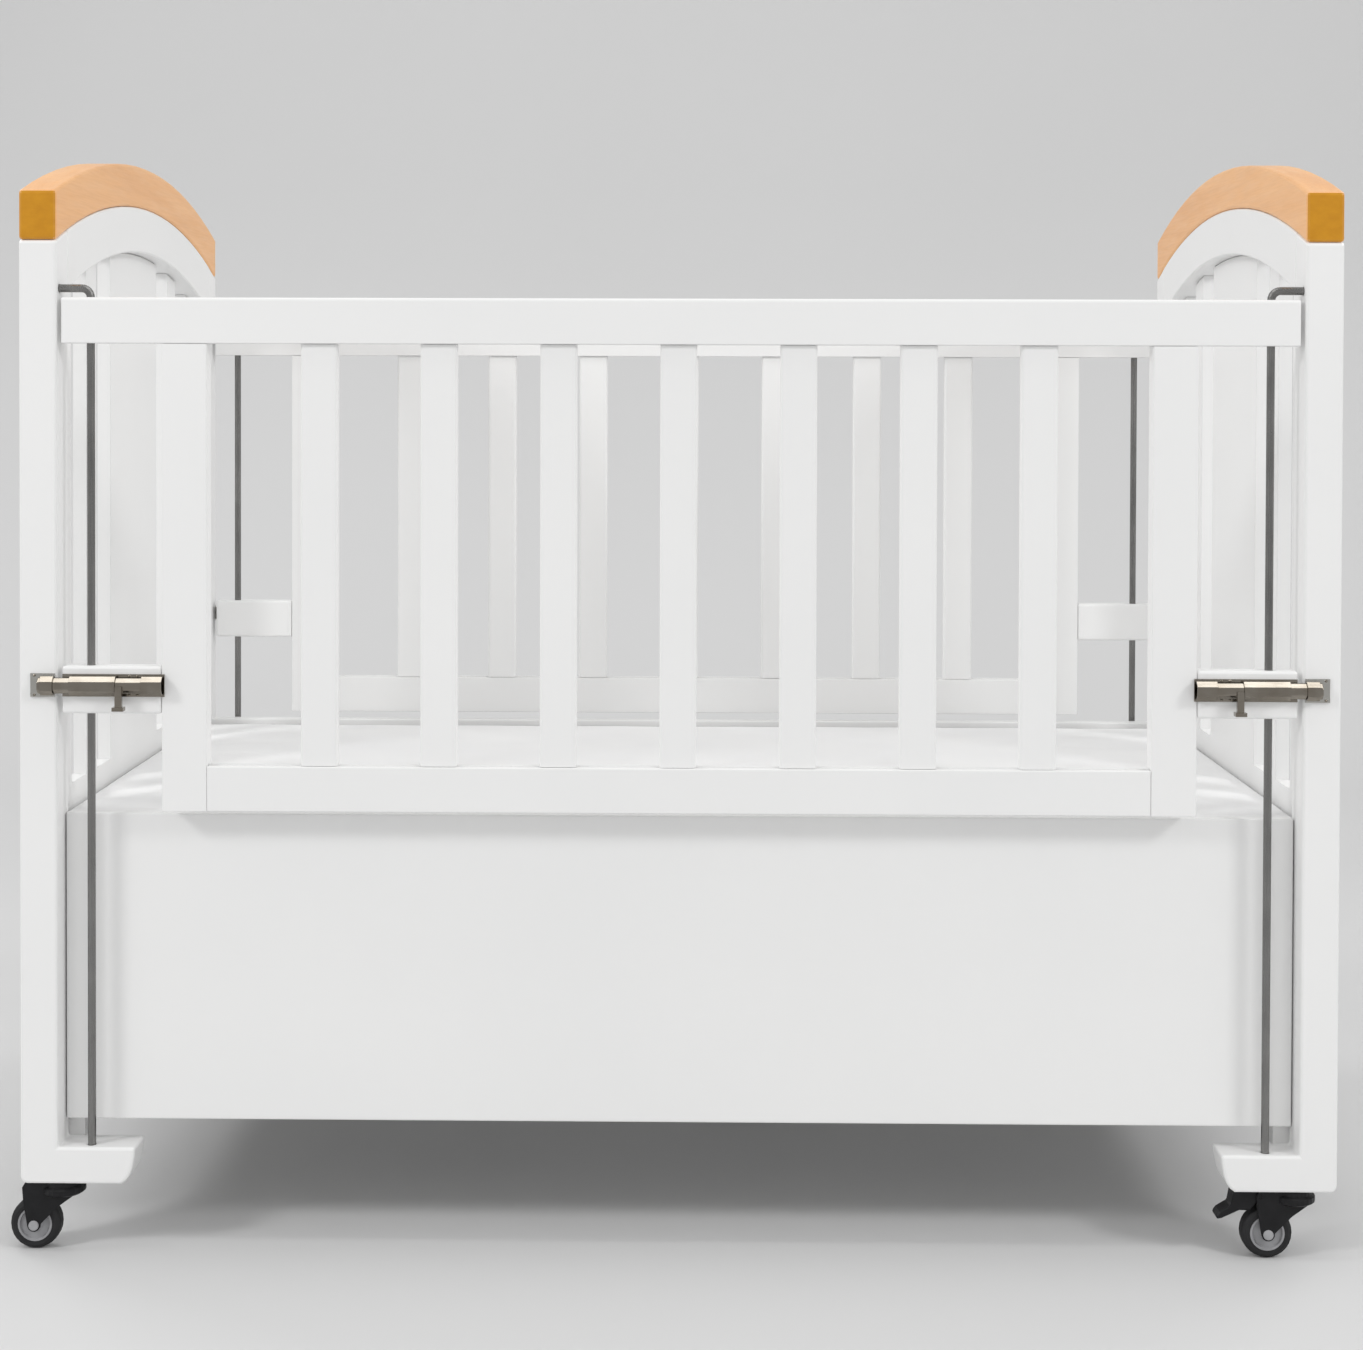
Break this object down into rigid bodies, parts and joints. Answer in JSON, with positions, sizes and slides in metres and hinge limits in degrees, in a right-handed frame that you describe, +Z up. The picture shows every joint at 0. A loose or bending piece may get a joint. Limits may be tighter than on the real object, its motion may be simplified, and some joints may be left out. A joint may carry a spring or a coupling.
{
  "type": "baby cot",
  "caption": "White painted baby cot with arched natural wood end caps, sliding drop sides on steel guide rods with barrel bolts, castors and a mattress",
  "frame": {"origin": "on the floor, under the middle of the cot", "axes": "+X along the cot towards its right end panel, +Y towards the rear drop side, +Z up"},
  "size_m": [1.318, 0.7308, 1.1003],
  "materials": {
    "white_lacquer": "smooth satin white paint on wood",
    "cap_wood": "clear-lacquered warm orange-tan wood with fine grain",
    "bright_steel": "drawn bright steel rod",
    "bolt_plating": "nickel-plated pressed steel",
    "mattress_cover": "soft white woven cover",
    "black_castor": "satin black coated castor body",
    "grey_hub": "light grey moulded hub",
    "black_tyre": "black rubber tread"
  },
  "bodies": {
    "frame": {"post_front_left": "white_lacquer", "guide_rod_front_left": "bright_steel", "bolt_keeper_front_left": "bolt_plating", "post_front_right": "white_lacquer", "guide_rod_front_right": "bright_steel", "bolt_keeper_front_right": "bolt_plating", "side_board_front": "white_lacquer", "bed_rail_front": "white_lacquer", "post_rear_left": "white_lacquer", "guide_rod_rear_left": "bright_steel", "bolt_keeper_rear_left": "bolt_plating", "post_rear_right": "white_lacquer", "guide_rod_rear_right": "bright_steel", "bolt_keeper_rear_right": "bolt_plating", "side_board_rear": "white_lacquer", "bed_rail_rear": "white_lacquer", "cap_left": "cap_wood", "arch_rail_left": "white_lacquer", "end_panel_left": "white_lacquer", "cap_right": "cap_wood", "arch_rail_right": "white_lacquer", "end_panel_right": "white_lacquer", "bed_base": "white_lacquer", "mattress": "mattress_cover"},
    "front_side": {"front_side_top_rail": "white_lacquer", "front_side_bottom_rail": "white_lacquer", "front_side_slats": "white_lacquer", "front_side_stile_left": "white_lacquer", "front_side_latch_block_left": "white_lacquer", "front_side_bolt_plate_left": "bolt_plating", "front_side_stile_right": "white_lacquer", "front_side_latch_block_right": "white_lacquer", "front_side_bolt_plate_right": "bolt_plating"},
    "front_left_bolt": {"front_side_bolt_left": "bolt_plating"},
    "front_right_bolt": {"front_side_bolt_right": "bolt_plating"},
    "rear_side": {"rear_side_top_rail": "white_lacquer", "rear_side_bottom_rail": "white_lacquer", "rear_side_slats": "white_lacquer", "rear_side_stile_left": "white_lacquer", "rear_side_latch_block_left": "white_lacquer", "rear_side_bolt_plate_left": "bolt_plating", "rear_side_stile_right": "white_lacquer", "rear_side_latch_block_right": "white_lacquer", "rear_side_bolt_plate_right": "bolt_plating"},
    "rear_left_bolt": {"rear_side_bolt_left": "bolt_plating"},
    "rear_right_bolt": {"rear_side_bolt_right": "bolt_plating"},
    "castor_front_left_fork": {"castor_front_left_fork": "black_castor"},
    "castor_front_left_wheel": {"castor_front_left_tyre": "black_tyre", "castor_front_left_hub": "grey_hub"},
    "castor_front_right_fork": {"castor_front_right_fork": "black_castor"},
    "castor_front_right_wheel": {"castor_front_right_tyre": "black_tyre", "castor_front_right_hub": "grey_hub"},
    "castor_front_right_pedal": {"castor_front_right_pedal": "black_castor"},
    "castor_rear_left_fork": {"castor_rear_left_fork": "black_castor"},
    "castor_rear_left_wheel": {"castor_rear_left_tyre": "black_tyre", "castor_rear_left_hub": "grey_hub"},
    "castor_rear_left_pedal": {"castor_rear_left_pedal": "black_castor"},
    "castor_rear_right_fork": {"castor_rear_right_fork": "black_castor"},
    "castor_rear_right_wheel": {"castor_rear_right_tyre": "black_tyre", "castor_rear_right_hub": "grey_hub"}
  },
  "joints": [
    {"name": "front_side_drop", "type": "slide", "parent": "frame", "child": "front_side", "axis": [0, 0, -1], "range_m": [0, 0.42]},
    {"name": "front_left_bolt_slide", "type": "slide", "parent": "front_side", "child": "front_left_bolt", "axis": [1, 0, 0], "range_m": [0, 0.0175]},
    {"name": "front_right_bolt_slide", "type": "slide", "parent": "front_side", "child": "front_right_bolt", "axis": [-1, 0, 0], "range_m": [0, 0.0175]},
    {"name": "rear_side_drop", "type": "slide", "parent": "frame", "child": "rear_side", "axis": [0, 0, -1], "range_m": [0, 0.42]},
    {"name": "rear_left_bolt_slide", "type": "slide", "parent": "rear_side", "child": "rear_left_bolt", "axis": [1, 0, 0], "range_m": [0, 0.0175]},
    {"name": "rear_right_bolt_slide", "type": "slide", "parent": "rear_side", "child": "rear_right_bolt", "axis": [-1, 0, 0], "range_m": [0, 0.0175]},
    {"name": "castor_front_left_swivel", "type": "hinge", "parent": "frame", "child": "castor_front_left_fork", "pos_m": [-0.607, -0.33, 0.069], "axis": [0, 0, 1], "continuous": true},
    {"name": "castor_front_left_roll", "type": "hinge", "parent": "castor_front_left_fork", "child": "castor_front_left_wheel", "pos_m": [-0.634, -0.33, 0.025], "axis": [0, 1, 0], "continuous": true},
    {"name": "castor_front_right_swivel", "type": "hinge", "parent": "frame", "child": "castor_front_right_fork", "pos_m": [0.607, -0.33, 0.069], "axis": [0, 0, 1], "continuous": true},
    {"name": "castor_front_right_roll", "type": "hinge", "parent": "castor_front_right_fork", "child": "castor_front_right_wheel", "pos_m": [0.58, -0.33, 0.025], "axis": [0, 1, 0], "continuous": true},
    {"name": "castor_front_right_brake", "type": "hinge", "parent": "castor_front_right_fork", "child": "castor_front_right_pedal", "pos_m": [0.573, -0.33, 0.0625], "axis": [0, -1, 0], "range_deg": [0, 10]},
    {"name": "castor_rear_left_swivel", "type": "hinge", "parent": "frame", "child": "castor_rear_left_fork", "pos_m": [-0.607, 0.33, 0.069], "axis": [0, 0, 1], "continuous": true},
    {"name": "castor_rear_left_roll", "type": "hinge", "parent": "castor_rear_left_fork", "child": "castor_rear_left_wheel", "pos_m": [-0.58, 0.33, 0.025], "axis": [0, 1, 0], "continuous": true},
    {"name": "castor_rear_left_brake", "type": "hinge", "parent": "castor_rear_left_fork", "child": "castor_rear_left_pedal", "pos_m": [-0.573, 0.33, 0.0625], "axis": [0, 1, 0], "range_deg": [0, 10]},
    {"name": "castor_rear_right_swivel", "type": "hinge", "parent": "frame", "child": "castor_rear_right_fork", "pos_m": [0.607, 0.33, 0.069], "axis": [0, 0, 1], "continuous": true},
    {"name": "castor_rear_right_roll", "type": "hinge", "parent": "castor_rear_right_fork", "child": "castor_rear_right_wheel", "pos_m": [0.634, 0.33, 0.025], "axis": [0, 1, 0], "continuous": true}
  ]
}
